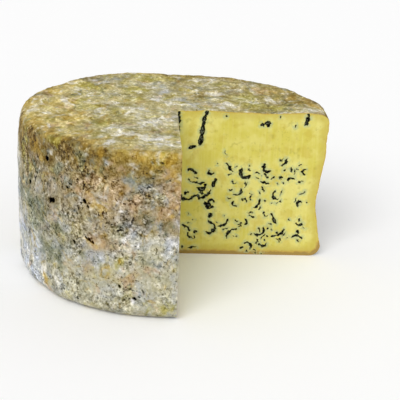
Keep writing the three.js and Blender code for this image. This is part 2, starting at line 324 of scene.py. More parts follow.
def flecks(veins, seed):
    """Short curls and flecks around veins."""
    draw = lots(seed)
    extra = []
    for vein in veins:
        for _ in range(FLECKS["count"]):
            spot = vein["path"][int(next(draw) * (len(vein["path"]) - 1))]
            away = 2 * math.pi * next(draw)
            gap = part_way(FLECKS["gap"], next(draw))
            out, up = spot[0] + gap * math.cos(away), spot[1] + gap * math.sin(away)
            length = part_way(FLECK["length"], next(draw) ** 2)
            heading, bend = 360 * next(draw), FLECK["bend"] * (2 * next(draw) - 1)
            fleck = arc(out, up, length, heading, bend, part_way(FLECK["radius"], next(draw)))
            apart = [np.linalg.norm(fleck["path"][:, None] - other["path"], axis=-1) for other in veins]
            if all(gaps.min() > FLECKS["clear"] for gaps in apart):
                extra.append(fleck)
    return extra


def pale_middles(outs, ups, veins):
    """How near places are to the paler mould that bent veins curl round, from 0 to 1."""
    most = np.zeros_like(outs)
    for vein in veins:
        middle = vein["path"].mean(axis=0)
        reach = np.linalg.norm(vein["path"] - middle, axis=1).min()
        if reach > PALE_REACH:
            most = np.maximum(most, bell(np.hypot(outs - middle[0], ups - middle[1]), reach))
    return most


def line_piece(spots, start, end):
    """How far spots are from a straight piece of line, and at what share of it they are."""
    along = end - start
    share = np.clip((spots - start) @ along / max(along @ along, 1e-12), 0, 1)
    return np.hypot(*(spots - start - share[:, None] * along).T), share


def vein_width(whole, number):
    """A vein's width at a share of its whole length: uneven, and less towards its ends."""
    return 0.84 + 0.26 * np.sin(9 * whole + 2.1 * number) - 0.35 * np.abs(2 * whole - 1) ** 3


def vein_depth(outs, ups, veins, seed):
    """How far places on a cut face are outside the nearest vein, or inside it where negative."""
    flat = np.column_stack([outs, ups, outs * 0])
    for number, (stray, wave) in enumerate(STRAYS):
        outs = outs + stray * grain(flat, wave, seed + number)
        ups = ups + stray * grain(flat, wave, seed + len(STRAYS) + number)
    nearest = np.full(outs.shape, FIELD_REACH)
    for number, vein in enumerate(veins):
        path = vein["path"]
        low, high = path.min(0) - FIELD_REACH, path.max(0) + FIELD_REACH
        near = np.nonzero((outs > low[0]) & (outs < high[0]) & (ups > low[1]) & (ups < high[1]))[0]
        spots = np.column_stack([outs[near], ups[near]])
        count = len(path) - 1
        for k in range(count):
            distance, share = line_piece(spots, path[k], path[k + 1])
            width = vein["radius"] * vein_width((k + share) / count, number)
            nearest[near] = np.minimum(nearest[near], distance - width)
    return nearest


# The rind's pits, by azimuth, height and radius

PITS = (
    (222, 85, 1.7), (224.9, 61.7, 1.7), (226.2, 62.2, 1.8), (239.6, 66.6, 1.6), (240.9, 64, 1.3),
    (238, 65, 1.1), (232.4, 72, 1.3), (234, 74.2, 1.1), (240.3, 45.7, 1.2), (241.5, 44.7, 1.5),
    (242.8, 43.5, 1.4), (235.6, 40.6, 1.4), (252.6, 19.8, 1.4), (257.6, 13.2, 1.5), (259.4, 14.4, 1.1),
    (211, 65.4, 1.6), (219, 70, 1.1), (188, 52, 1.8), (160, 70, 1.6), (131, 33, 2.0), (96, 58, 1.7),
    (64, 24, 1.9), (33, 66, 2.2),
)
SMALL_PITS = {"count": 90, "seed": 411, "heights": (6, HEIGHT - 8), "radius": (0.4, 1.0)}

# A pit's depth, and the width of its bell, as shares of its radius
PIT_DEPTH = 0.9
PIT_WIDTH = 0.8


def pit_list():
    """All pits: the ones above, and small ones drawn by lot."""
    draw = lots(SMALL_PITS["seed"])
    limits = ((FAR_CUT, NEAR_CUT), SMALL_PITS["heights"], SMALL_PITS["radius"])
    small = [[part_way(pair, next(draw)) for pair in limits] for _ in range(SMALL_PITS["count"])]
    return [*PITS, *small]


# Where the rind's colours gather. On the side a patch is an azimuth, a height and a size, and on the top it
# is x, y and a size. The side that shows is listed, and the back is finished like it.

SHOWN_START = 186
SIDE_PATCHES = {
    "chalk": (
        (188, 74, 15), (188, 54, 18), (190, 28, 18), (190, 8, 16), (195, 46, 10), (198, 30, 15),
        (206, 20, 14), (205, 8, 12), (214, 14, 10), (257, 48, 8), (267, 45, 8), (246, 34, 5), (204, 34, 12),
        (214, 30, 8), (195, 92, 6),
    ),
    "stone": (
        (199, 54, 5), (206, 57, 7), (212, 54, 8), (219, 56, 6), (226, 29, 6), (219, 47, 4), (214, 41, 5),
        (205, 70, 5), (190, 62, 6), (229, 44, 4),
    ),
    "pearl": (
        (252, 63, 5), (256, 50, 8), (262, 46, 6), (263, 60, 3), (268, 57, 5), (240, 34, 6), (246, 38, 4),
        (269, 48, 4), (235, 14, 5), (203, 38, 7), (218, 65, 6), (226, 70, 4), (234, 64, 4), (226.5, 87, 3),
        (230, 52, 5), (232, 22, 6), (246, 16, 5), (212, 22, 6),
    ),
    "tan": (
        (234, 72, 10), (244, 74, 12), (258, 72, 12), (268, 76, 12), (250, 62, 8), (246, 46, 6),
        (268, 62, 8),
    ),
    "clay": (
        (269, 82, 7), (269, 68, 6), (237, 73, 5), (242, 69, 4), (252, 73, 7), (258, 67, 4), (246, 44, 5),
        (253, 43, 5), (242, 27, 4), (248, 26, 3), (253, 27, 4), (223, 6, 3), (258, 28, 4), (269, 92, 5),
        (246, 89, 4), (218, 93, 4), (266, 76, 3), (252, 79, 5),
    ),
    "dusk": (
        (231, 84, 6), (239, 84, 7), (247, 85, 5), (255, 83, 7), (223, 84, 3), (226, 78, 3), (263, 82, 6),
        (235, 77, 3), (240, 64, 3), (247, 60, 4), (244, 45, 3), (216, 78, 4), (204, 74, 4),
    ),
    "ash": ((259, 80, 5), (263, 75, 4.5), (233, 77, 4), (225, 86, 3), (199, 60, 5), (254, 55, 3)),
    "cream": (
        (236, 10, 10), (246, 20, 10), (252, 32, 8), (256, 10, 12), (262, 34, 12), (264, 42, 6),
        (268, 24, 12), (268, 8, 12), (254, 44, 6), (244, 8, 10), (234, 18, 8),
    ),
    "umber": (
        (204, 88, 5), (211, 85, 5), (212, 94, 5), (222, 86, 5), (228, 92, 6), (234, 94, 7), (241, 94, 6),
        (232, 99, 6), (240, 99, 5), (248, 91, 4), (225, 98, 5), (199, 84, 6), (204, 96, 5), (247, 98, 4),
        (255, 88, 3), (217, 97, 7), (217, 80, 4), (225, 98, 8), (233, 97, 8), (241, 98, 5),
    ),
    "gold": ((207, 98, 4), (252, 97, 3), (259, 98, 6), (265, 95, 7), (271, 90, 6)),
    "ochre": (
        (215, 87, 4), (218, 84, 3), (202, 96, 4), (246, 95, 3), (259, 96, 4), (268, 93, 4), (270, 86, 4),
        (248, 46, 3), (253, 36, 2), (260.6, 16, 2.4), (260, 9.5, 2.4), (222.5, 6, 3), (221, 12, 2.5),
        (266, 63, 2.5), (246, 66, 2.5),
    ),
    "olive": (
        (211, 75, 4), (253, 35, 2.5), (203, 83, 5), (204, 96, 6), (264, 97, 4), (225, 74, 3), (268, 6, 5),
        (207, 90, 4),
    ),
    "peach": (
        (241, 78, 5), (236, 71, 4), (256, 72, 5), (268, 84, 5), (270.5, 74, 5), (267, 67, 4), (246, 44, 4),
        (255, 45, 4), (257, 26, 5), (262, 31, 4), (240, 27, 4), (223, 6, 3), (207, 71, 4), (217.5, 90, 3),
        (245, 82, 4), (266, 88, 4), (248, 71, 5), (250, 90, 4),
    ),
    "slate": (
        (260, 78, 5), (264, 74, 4.5), (257, 81, 4), (232, 77, 4), (224, 86, 3), (190, 65, 6), (266, 60, 3),
        (229, 57, 3),
    ),
    "bloom": (
        (190.5, 74, 8), (188, 91, 8), (193, 45, 7), (190.5, 25, 7), (188, 60, 6), (195, 33, 6),
        (197, 14, 7), (241.5, 70, 1.6), (261.3, 64, 2.6), (226.5, 88, 1.6), (220, 17, 4), (210, 20, 5),
        (228, 14, 3), (258, 10, 2.5), (249, 8, 3), (200, 84, 4), (266, 30, 2), (244, 82, 1.2),
        (255, 52, 2.5), (261, 48, 2.5),
    ),
    # Dark olive-grey blotches on the side, partly mould and partly painted shade
    "moss": (
        (212, 53, 8), (217, 56, 6), (221, 55, 4), (208, 58, 4), (225, 28, 7), (221, 31, 5), (229, 22, 4),
        (214, 44, 4), (219, 48, 3), (201, 54, 4), (228, 45, 3), (210, 36, 4), (217, 37, 3), (232, 40, 3),
        (248, 29, 2.5), (243, 58, 3), (238, 88, 4), (228, 84, 5), (246, 90, 4), (256, 85, 3), (216, 74, 4),
    ),
    "soot": (
        (223, 84, 3), (232, 83, 3), (238, 85, 3), (247, 88, 3), (255, 85, 3), (226, 79, 3), (240, 66, 2),
        (242, 62, 3), (246, 59, 4), (251, 56, 3), (243, 45, 2.5), (252, 52, 4), (259, 14, 4), (222, 12, 3),
        (260, 78, 5), (265, 72, 3), (212, 66, 2.5), (219, 70, 2.5), (249, 28, 3), (264, 33, 3),
        (234, 72, 3),
    ),
}
TOP_PATCHES = {
    "straw": (
        (-92, 0, 20), (-88, -30, 18), (-80, -50, 14), (-84, 30, 16), (-70, 50, 12), (-62, -64, 12),
        (-40, -88, 10), (-70, 8, 12), (-66, -30, 12),
    ),
    "cream": (
        (-10, -58, 14), (-16, -30, 14), (-22, -8, 12), (-30, -50, 12), (-48, 84, 12), (-55, 12, 8),
        (-50, 64, 10), (-20, 66, 8),
    ),
    "bronze": (
        (52, 16, 14), (68, 30, 14), (80, 46, 14), (70, 60, 14), (34, 84, 12), (88, 28, 10), (16, 38, 9),
        (50, 78, 10), (30, 46, 8), (40, 62, 8), (50, 44, 8), (6, 88, 8), (64, 74, 10), (52, 22, 9),
        (74, 42, 9), (86, 42, 8), (70, 14, 7), (84, 26, 8),
    ),
    "sage": (
        (-28, 47, 8), (-60, 50, 8), (-25, 80, 7), (-57, 0, 7), (-30, 22, 6), (52, 22, 9), (44, 38, 8),
        (-46, -32, 6), (-8, 84, 6), (-36, -8, 6), (2, -60, 5), (70, 16, 7), (-72, -66, 5), (-62, 16, 5),
    ),
    "ochre": (
        (-90, -40, 7), (-62, -14, 5), (-66, -28, 5), (-76, -56, 6), (-94, 10, 4), (78, 42, 8), (60, 54, 6),
        (90, 20, 5), (-50, -78, 6), (-20, -91, 5), (-84, -46, 5),
    ),
    "olive": (
        (-25, 48, 6), (-63, 52, 5), (-56, -2, 5), (52, 22, 6), (-30, 20, 4), (-25, 79, 6), (-5, 84, 4),
        (45, 42, 5), (64, 12, 5), (-70, -70, 5), (0, -60, 4), (-45, -30, 4),
    ),
    "peach": (
        (-12, -50, 5), (-75, -5, 4), (-60, -40, 6), (-70, -48, 4), (-50, -66, 4), (-55, 60, 4),
        (-86, 16, 5), (-20, 66, 5), (10, 70, 3), (58, 56, 7), (-38, 74, 4), (-30, -35, 4),
    ),
    "pearl": (
        (-12, 57, 6), (-10, 44, 7), (5, 28, 8), (22, 14, 8), (18, 80, 5), (-10, 30, 6), (10, 16, 7),
        (-12, 66, 5),
    ),
    "slate": ((-13, 54, 3), (6, 28, 3.5), (18, 80, 3)),
    "bloom": (
        (-87, -20, 6), (-8, -70, 5), (-8, -79, 5), (-50, -8, 4), (-41, 14, 4.5), (-57, 12, 4), (-70, 3, 4),
        (-26, 0, 3), (25, 48, 5), (35, 72, 4), (-12, 70, 3), (-33, 90, 5), (-18, -30, 5), (-30, -60, 5),
        (-38, -47, 5), (60, 36, 3.5), (-22, -46, 3), (-64, 28, 3), (-40, -80, 3), (-20, -82, 3), (0, 14, 3),
        (28, 12, 4), (8, 52, 3), (-78, -52, 3), (-55, 63, 4), (-12, 26, 5), (30, 22, 4), (-4, -20, 3),
        (-34, -76, 3), (15, 78, 3), (-20, -66, 4), (86, 66, 3),
    ),
    # Dark olive-grey blotches on the top, partly mould and partly painted shade
    "moss": (
        (60, 8, 4), (72, 22, 5), (52, 24, 3.5), (82, 54, 6), (88, 40, 5), (76, 62, 6), (66, 72, 6),
        (24, 34, 4), (12, 90, 4), (34, 56, 3), (56, 80, 5), (74, 10, 4), (12, 46, 4),
    ),
    "soot": (
        (-46, 44, 2.4), (-38, 2, 2), (-56, -16, 2), (-34, -22, 2.4), (-32, -50, 2.4), (-14, 60, 2.5),
        (60, 30, 3), (-20, -58, 2), (6, 30, 4), (84, 50, 4), (20, 90, 4), (50, 40, 3),
    ),
}
ZONES = tuple(SIDE_PATCHES | TOP_PATCHES)
PATCH = {"wave": 9, "stray": 4, "reach": 2.2}
BACK = {"copies": 2, "shift": 12, "size": (0.7, 1.3), "edge": 3}


def back_patches(patches, seed):
    """Patches for the side that is turned away: like the ones that show, at places drawn by lot."""
    draw = lots(seed)
    copies = []
    for _, height, size in patches * BACK["copies"]:
        azimuth = part_way((FAR_CUT, SHOWN_START), next(draw))
        shifted = height + BACK["shift"] * (2 * next(draw) - 1)
        shifted = min(max(shifted, BACK["edge"]), HEIGHT - BACK["edge"])
        copies.append((azimuth, shifted, size * part_way(BACK["size"], next(draw))))
    return tuple(copies)


def zone_spots(name):
    """The middles and sizes of a zone's patches, on the true cylinder."""
    spots = []
    side = SIDE_PATCHES.get(name, ())
    for azimuth, height, size in side + back_patches(side, 500 + ZONES.index(name)):
        turn = math.radians(azimuth)
        spots.append(((RADIUS * math.cos(turn), RADIUS * math.sin(turn), height), size))
    for x, y, size in TOP_PATCHES.get(name, ()):
        spots.append(((x, y, HEIGHT), size))
    return spots


def zone(name, places):
    """How much of a zone's colour gathers at places on the true cylinder, from 0 to 1."""
    seed = 300 + 10 * ZONES.index(name)
    stray = np.column_stack([rough_grain(places, PATCH["wave"], seed + axis) for axis in range(3)])
    moved = places + PATCH["stray"] * stray
    most = np.zeros(len(places))
    for middle, size in zone_spots(name):
        near = np.abs(moved - middle).max(axis=1) < PATCH["reach"] * size
        away = np.linalg.norm(moved[near] - middle, axis=1)
        most[near] = np.maximum(most[near], bell(away, size))
    return most


# The mesh: rings of points from the far cut to the near cut, one for each station of the wheel's section

COLUMNS = 400
SIDE_STEP = 1.15
TOP_STEP = 1.35
UNDER_STEP = 3
FACE_STEP = 0.42
COARSE_STEPS = 3
FLAT_BELOW = 3

# The points of a cut face: how far they are moved off their grid and how far they stay from its outline, as
# shares of a step, and how near a vein they are close together
JITTER = 0.22
JITTER_WAVE = 0.3
OUTLINE_GAP = 0.6
FINE_BAND = 0.9

# A vein's hollow starts this far outside its outline, slopes this far, and is shallower this near the rind.
HOLLOW_START = 0.2
HOLLOW_SLOPE = 1.3
SHALLOW_RIM = 1.5
CORNER_STEP = 1.2
CORNER_WANDER = 0.12


def rounding(reach, height, radius, first):
    """The stations of a quarter circle of this radius round a middle, from a first turn on."""
    turns = np.linspace(first, first + math.pi / 2, round(radius * math.pi / 2 / SIDE_STEP) + 1)
    return [(reach + radius * math.cos(turn), height + radius * math.sin(turn), turn, 1) for turn in turns]


def stations():
    """The section, as (radius, height, outward turn from level in radians, share of COLUMNS per ring)."""
    bottom_reach, top_reach = RADIUS - BOTTOM_ROUNDING, RADIUS - TOP_ROUNDING
    low, high = BOTTOM_ROUNDING, HEIGHT - TOP_ROUNDING
    under = round(bottom_reach / UNDER_STEP)
    rise = round((high - low) / SIDE_STEP)
    inward = round(top_reach / TOP_STEP)
    rows = [(bottom_reach * i / under, 0, -math.pi / 2, 0.5 * i / under + 0.1) for i in range(under)]
    rows += rounding(bottom_reach, low, BOTTOM_ROUNDING, -math.pi / 2)
    rows += [(RADIUS, low + (high - low) * i / rise, 0, 1) for i in range(1, rise)]
    rows += rounding(top_reach, high, TOP_ROUNDING, 0)
    lid = [(top_reach * i / inward, HEIGHT, math.pi / 2, 0.9 * i / inward) for i in range(inward)]
    return rows + lid[::-1]


def pit_depth(azimuth, height):
    """How deep the rind sinks into its pits."""
    deepest = np.zeros(len(azimuth))
    for pit_azimuth, pit_height, radius in pit_list():
        away = np.hypot(np.radians(azimuth - pit_azimuth) * RADIUS, height - pit_height)
        deepest = np.maximum(deepest, PIT_DEPTH * radius * bell(away, PIT_WIDTH * radius))
    return deepest


def relief(points, turn):
    """How far the rind stands out in fine lumps and wrinkles."""
    lumps = 0.26 * grain(points, 9, 11) + 0.2 * rough_grain(points, 4, 17)
    creases = 0.3 * (0.5 - np.abs(rough_grain(points, 6, 23, 2))) * np.maximum(np.sin(turn), 0) ** 2
    return lumps + creases + 0.13 * grain(points, 1.8, 31)


RIND, FAR_FACE, NEAR_FACE = 0, 1, 2
FACTS = ("height", "lid", "pit", "vein", "margin", "pale") + ZONES


class Skin:
    """The points and triangles of the mesh, with what the materials need to know at each point."""

    def __init__(self):
        self.points = []
        self.facts = {name: [] for name in FACTS}
        self.triangles = []
        self.sides = []

    def add(self, points, **facts):
        first = sum(len(part) for part in self.points)
        self.points.append(points)
        for name, parts in self.facts.items():
            parts.append(np.broadcast_to(np.asarray(facts.get(name, 0), float), len(points)))
        return list(range(first, first + len(points)))

    def join(self, triangles, side=RIND):
        self.triangles += triangles
        self.sides += [side] * len(triangles)


def rind_rings(skin):
    """Adds the rings of the rind and joins each to the next."""
    rings, rows = [], []
    for radius, height, turn, share in stations():
        steps = 0 if radius == 0 else max(3, round(COLUMNS * share))
        first = rings[-1][-1] + 1 if rings else 0
        rings.append(list(range(first, first + steps + 1)))
        rows += [(radius, azimuth, height, turn) for azimuth in np.linspace(FAR_CUT, NEAR_CUT, steps + 1)]
    radius, azimuth, height, turn = np.array(rows).T
    east, north, level = np.cos(np.radians(azimuth)), np.sin(np.radians(azimuth)), np.cos(turn)
    points = place(radius, azimuth, height)
    outward = np.column_stack([level * east, level * north, np.sin(turn)])
    pit = pit_depth(azimuth, height) * level**2
    stand = (relief(points, turn) - pit) * np.minimum(1, height / FLAT_BELOW)
    points = points + outward * stand[:, None]
    points[:, 2] = np.maximum(points[:, 2], 0)
    true_places = np.column_stack([radius * east, radius * north, height])
    zones = {name: zone(name, true_places) for name in ZONES}
    skin.add(points, height=height, lid=rim_distance(radius, height), pit=pit, vein=FIELD_REACH, **zones)
    for below, above in zip(rings, rings[1:]):
        skin.join(stitch(below, above))
    return rings


def rim_distance(radius, height):
    """How far places on the section are from the rim: in over the top, or down the side where negative."""
    return np.where(height >= HEIGHT - TOP_ROUNDING, (RADIUS - radius) - (HEIGHT - height), height - HEIGHT)


def stitch(below, above):
    """The triangles between two rings, which may have different numbers of points."""
    triangles = []
    i, j = 0, 0
    while i + 1 < len(below) or j + 1 < len(above):
        below_next = (i + 1) / (len(below) - 1) if len(below) > 1 else 2
        above_next = (j + 1) / (len(above) - 1) if len(above) > 1 else 2
        if below_next <= above_next:
            triangles.append((below[i], below[i + 1], above[j]))
            i += 1
        else:
            triangles.append((below[i], above[j + 1], above[j]))
            j += 1
    return triangles


def face_points(outline, veins, seed):
    """Points over a cut face, closer by its veins, and how far each is from a vein and from the outline."""
    steps_out = np.arange(FACE_STEP, RADIUS + 4, FACE_STEP)
    steps_up = np.arange(FACE_STEP, HEIGHT + 6, FACE_STEP)
    grid = np.stack(np.meshgrid(steps_out, steps_up), axis=-1).reshape(-1, 2)
    coarse = (np.round(grid / FACE_STEP).astype(int) % COARSE_STEPS == 0).all(axis=1)
    flat = np.column_stack([grid, np.zeros(len(grid))])
    moves = np.column_stack([grain(flat, JITTER_WAVE, seed + 7), grain(flat, JITTER_WAVE, seed + 8)])
    grid = grid + JITTER * FACE_STEP * moves
    depth = vein_depth(grid[:, 0], grid[:, 1], veins, seed)
    closed = np.concatenate([outline, outline[:1]])
    rim = np.where(within(grid, closed), line_distance(grid, closed), -1)
    kept = (rim > OUTLINE_GAP * FACE_STEP) & ((depth < FINE_BAND) | coarse)
    return grid[kept], depth[kept], rim[kept]


def cut_face(skin, side, edge, corner, veins):
    """Adds one cut face between its rind edge and the notch's corner, with the veins as hollows."""
    azimuth, inward, seed = (FAR_CUT, 1, 51) if side == FAR_FACE else (NEAR_CUT, -1, 61)
    points = np.concatenate(skin.points)
    loop = edge + corner[::-1]
    outline = np.column_stack([np.hypot(points[loop, 0], points[loop, 1]), points[loop, 2]])
    grid, depth, rim = face_points(outline, veins, seed)
    outs, ups = grid.T
    slope = np.clip((HOLLOW_START - depth) / HOLLOW_SLOPE, 0, 1)
    sink = VEIN_DEPTH * slope * slope * (3 - 2 * slope) * np.clip(rim / SHALLOW_RIM, 0, 1)
    turn = math.radians(azimuth)
    across = np.array([-math.sin(turn), math.cos(turn), 0]) * inward
    middle = np.column_stack([outs * math.cos(turn), outs * math.sin(turn), ups])
    margin, pale = line_distance(grid, outline[:len(edge)]), pale_middles(outs, ups, veins)
    inner = skin.add(middle + across * sink[:, None], height=ups, vein=depth, margin=margin, pale=pale)
    names = loop + inner
    coords = [Vector(spot) for spot in np.concatenate([outline, grid])]
    faces, origins = geometry.delaunay_2d_cdt(coords, [], [list(range(len(loop)))], 1, 1e-6)[2:4]
    triangles = []
    for face in faces:
        a, b, c = (names[origins[n][0]] for n in face)
        triangles.append((a, b, c) if inward > 0 else (a, c, b))
    skin.join(triangles, side)


def line_distance(spots, line):
    """How far spots are from a line of points."""
    nearest = np.full(len(spots), np.inf)
    for start, end in zip(line, line[1:]):
        nearest = np.minimum(nearest, line_piece(spots, start, end)[0])
    return nearest


def within(spots, outline):
    """Whether spots are inside a closed outline."""
    inside = np.zeros(len(spots), bool)
    for start, end in zip(outline, outline[1:]):
        if start[1] == end[1]:
            continue
        crosses = (start[1] > spots[:, 1]) != (end[1] > spots[:, 1])
        level = start[0] + (spots[:, 1] - start[1]) * (end[0] - start[0]) / (end[1] - start[1])
        inside ^= crosses & (spots[:, 0] < level)
    return inside


def mark_sharp(mesh, sides):
    """Marks the edges between the rind and the cut faces as sharp, so that their shading stays apart."""
    edges = np.empty(len(mesh.loops), np.int32)
    mesh.loops.foreach_get("edge_index", edges)
    lowest, highest = np.full(len(mesh.edges), NEAR_FACE), np.full(len(mesh.edges), RIND)
    np.minimum.at(lowest, edges, np.repeat(sides, 3))
    np.maximum.at(highest, edges, np.repeat(sides, 3))
    mesh.attributes.new("sharp_edge", "BOOLEAN", "EDGE").data.foreach_set("value", lowest != highest)


def notch_corner(skin, top):
    """Adds the points of the notch's corner, which wanders a little on its way up to the top."""
    heights = np.arange(CORNER_STEP, top - CORNER_STEP / 2, CORNER_STEP)
    wander = CORNER_WANDER * grain(np.column_stack([heights, heights * 0, heights * 0]), 4, 77)
    spots = np.column_stack([wander, -wander, heights])
    return skin.add(spots, height=heights, vein=FIELD_REACH, margin=np.minimum(heights, top - heights))


def cheese_mesh():
    """The whole closed mesh, in metres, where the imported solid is."""
    skin = Skin()
    rings = rind_rings(skin)
    corner = notch_corner(skin, np.concatenate(skin.points)[rings[-1][0]][2])
    hidden = drawn_veins(FAR_VEINS, **FAR_LOTS)
    far = FAR_VEINS + FAR_NEEDLES + hidden + flecks(hidden, 901)
    near = NEAR_VEINS + NEAR_NEEDLES + drawn_veins(NEAR_VEINS, **NEAR_LOTS)
    cut_face(skin, FAR_FACE, [ring[0] for ring in rings], corner, far)
    cut_face(skin, NEAR_FACE, [ring[-1] for ring in rings], corner, near + flecks(near, 902))
    points = np.concatenate(skin.points)
    solid_middle = sum(np.array(corner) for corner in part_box("cheese_wheel")) / 2 * METRE
    points[:, :2] += (solid_middle - (points.min(0) + points.max(0)) / 2)[:2]
    mesh = bpy.data.meshes.new("cheese")
    mesh.from_pydata((points / METRE).tolist(), [], skin.triangles)
    for name, parts in skin.facts.items():
        attribute = mesh.attributes.new(name, "FLOAT", "POINT")
        attribute.data.foreach_set("value", np.concatenate(parts).astype(np.float32))
    sides = np.array(skin.sides, np.int32)
    mesh.polygons.foreach_set("material_index", np.minimum(sides, 1))
    mesh.polygons.foreach_set("use_smooth", np.ones(len(sides), bool))
    mark_sharp(mesh, sides)
    mesh.update()
    return mesh


# Materials

def screen(red, green, blue):
    """A colour by the values from 0 to 255 that a screen shows."""
    return (red / 255, green / 255, blue / 255, 1)


def tone(red, green, blue):
    """The same as the light that a shader reckons with."""
    parts = screen(red, green, blue)[:3]
    return (*(part / 12.92 if part <= 0.04045 else ((part + 0.055) / 1.055) ** 2.4 for part in parts), 1)


class Shade:
    """The nodes of one material. Its calls add a node and give back the socket with its result."""

    def __init__(self, name):
        self.material = bpy.data.materials.new(name)
        self.material.use_nodes = True
        self.tree = self.material.node_tree
        self.surface = self.tree.nodes["Principled BSDF"]
        self.places = self.add("ShaderNodeTexCoord").outputs["Object"]

    def add(self, kind, inputs=(), **settings):
        node = self.tree.nodes.new(kind)
        for name, value in settings.items():
            setattr(node, name, value)
        for key, value in dict(inputs).items():
            self.feed(node.inputs[key], value)
        return node

    def feed(self, socket, value):
        if isinstance(value, bpy.types.NodeSocket):
            self.tree.links.new(value, socket)
        else:
            socket.default_value = value

    def fact(self, name):
        """What the mesh says about each point under this name."""
        return self.add("ShaderNodeAttribute", attribute_name=name).outputs["Fac"]

    def maths(self, how, first, second=0.0):
        return self.add("ShaderNodeMath", {0: first, 1: second}, operation=how).outputs["Value"]

    def times(self, first, second):
        return self.maths("MULTIPLY", first, second)

    def mixed(self, value, times, plus):
        """A value times a number, plus another value."""
        inputs = {0: value, 1: times, 2: plus}
        return self.add("ShaderNodeMath", inputs, operation="MULTIPLY_ADD").outputs["Value"]

    def total(self, start, parts):
        """A start value plus each part's value times its amount."""
        for value, amount in parts:
            start = self.mixed(value, amount, start)
        return start

    def moved(self, scale, shift):
        """The places on the mesh, scaled and shifted."""
        inputs = {"Vector": self.places, "Scale": scale, "Location": [shift] * 3}
        return self.add("ShaderNodeMapping", inputs).outputs["Vector"]

    def noise(self, size, seed, detail=3.0, rough=0.55, stretch=(1, 1, 1), twist=0.0):
        """Noise from 0 to 1 with blotches about as wide as size, in millimetres."""
        places = self.moved([METRE / (size * part) for part in stretch], 7.3 * seed)
        inputs = {"Vector": places, "Scale": 1.0, "Detail": detail, "Roughness": rough, "Distortion": twist}
        return self.add("ShaderNodeTexNoise", inputs).outputs["Fac"]

    def crumb(self, size, seed):
        """Rounded grains about as wide as size: 0 in their middles and towards 1 in the gaps."""
        inputs = {"Vector": self.moved([METRE / size] * 3, 5.1 * seed), "Scale": 1.0}
        return self.add("ShaderNodeTexVoronoi", inputs).outputs["Distance"]

    def between(self, value, low, high):
        """0 up to low and 1 from high on, with a smooth step between them."""
        inputs = {"Value": value, "From Min": low, "From Max": high}
        return self.add("ShaderNodeMapRange", inputs, interpolation_type="SMOOTHSTEP").outputs["Result"]

    def blend(self, factor, under, over, how="MIX", **settings):
        inputs = {0: factor, 6: under, 7: over}
        return self.add("ShaderNodeMix", inputs, data_type="RGBA", blend_type=how, **settings).outputs[2]

    def layered(self, ground, layers):
        """A ground under layers, each given by where it lies, how far it covers there, and its colour."""
        for factor, cover, colour in layers:
            ground = self.blend(self.times(factor, cover), ground, colour)
        return ground

    def tinted(self, ground, tints):
        """A ground under tints, each where the mesh gathers it."""
        return self.layered(ground, [(self.fact(name), cover, screen(*tint)) for name, tint, cover in tints])

    def bump(self, height, strength, distance, below=None):
        """Fine relief from a height of 0 to 1, over the distance in millimetres."""
        inputs = {"Height": height, "Strength": strength, "Distance": distance / METRE}
        if below is not None:
            inputs["Normal"] = below
        return self.add("ShaderNodeBump", inputs).outputs["Normal"]

    def show(self, **looks):
        """Sets the inputs of the surface, named with _ for each space, and gives back the material."""
        for name, value in looks.items():
            self.feed(self.surface.inputs[name.replace("_", " ")], value)
        return self.material


# The rind's colours are mixed as screen values, so that fine grain can make them lighter and darker by as
# much in each channel, and are turned into light at the end.

SIDE_HIGH = screen(133, 122, 91)
SIDE_LOW = screen(162, 160, 145)
TOP_TONE = screen(165, 154, 105)
UNDER_RIM = screen(113, 91, 36)
OVER_RIM = screen(165, 143, 74)
SCREEN_GAMMA = 2.2

# The broad tints, and how far each covers what is below
TINTS = (
    ("chalk", (188, 193, 200), 1.0),
    ("stone", (126, 131, 112), 0.9),
    ("pearl", (168, 169, 169), 0.8),
    ("dusk", (116, 103, 74), 0.8),
    ("tan", (143, 126, 94), 0.8),
    ("clay", (166, 137, 97), 0.75),
    ("ash", (132, 138, 134), 0.7),
    ("cream", (176, 171, 142), 0.85),
    ("straw", (191, 167, 92), 0.9),
    ("bronze", (126, 110, 55), 0.9),
    ("sage", (155, 147, 66), 0.85),
)
RIM_TINTS = (("umber", (90, 70, 26), 0.95), ("gold", (168, 138, 50), 0.85))

# The zones of blotches: the tone, how much the patches add, how scarce the blotches are, how much more of
# them there are on the top, and how far the tone covers
BLOTCHES = (
    ("peach", (172, 144, 112), 0.3, 0.66, 0.0, 0.65),
    ("slate", (132, 139, 139), 0.3, 0.66, -0.02, 0.65),
    # The dark olive-grey blotches below are partly mould and partly painted shade.
    ("moss", (104, 107, 84), 0.34, 0.65, 0.0, 0.7),
    ("olive", (152, 142, 64), 0.34, 0.68, 0.08, 0.65),
    ("bloom", (216, 212, 202), 0.36, 0.66, 0.05, 0.75),
    ("ochre", (162, 130, 52), 0.36, 0.68, 0.02, 0.65),
)
BLOTCH_SIZE = 9
BLOTCH_SEED = 10
SOFT_EDGE = 0.12

# The grain of the rind: its size in millimetres, its seed, and how strong it is
SIDE_GRAINS = ((14, 30, 0.2), (6, 31, 0.28), (3.2, 32, 0.34), (1.5, 33, 0.56))
TOP_GRAINS = ((16, 36, 0.24), (6, 37, 0.4), (3, 38, 0.34), (1.5, 33, 0.22))
TWIST = 0.8

# The dark grains of the side and the light ones of the top stand out by this much more.
DARKER_TAIL = 0.5
LIGHTER_TAIL = 0.5

# Blotches and grain on the top are longer the one way, as if they had been rubbed.
RUBBED = (0.9, 1.5, 1)
COOL_CAST = screen(123, 127.5, 144)
WARM_CAST = screen(132, 127.5, 111)


def grain_light(shade, grains, stretch):
    """How much lighter or darker the grains make the rind."""
    parts = []
    for size, seed, amount in grains:
        parts.append((shade.mixed(shade.noise(size, seed, 1.0, 0.5, stretch, TWIST), 1.0, -0.5), amount))
    return shade.total(0.0, parts)


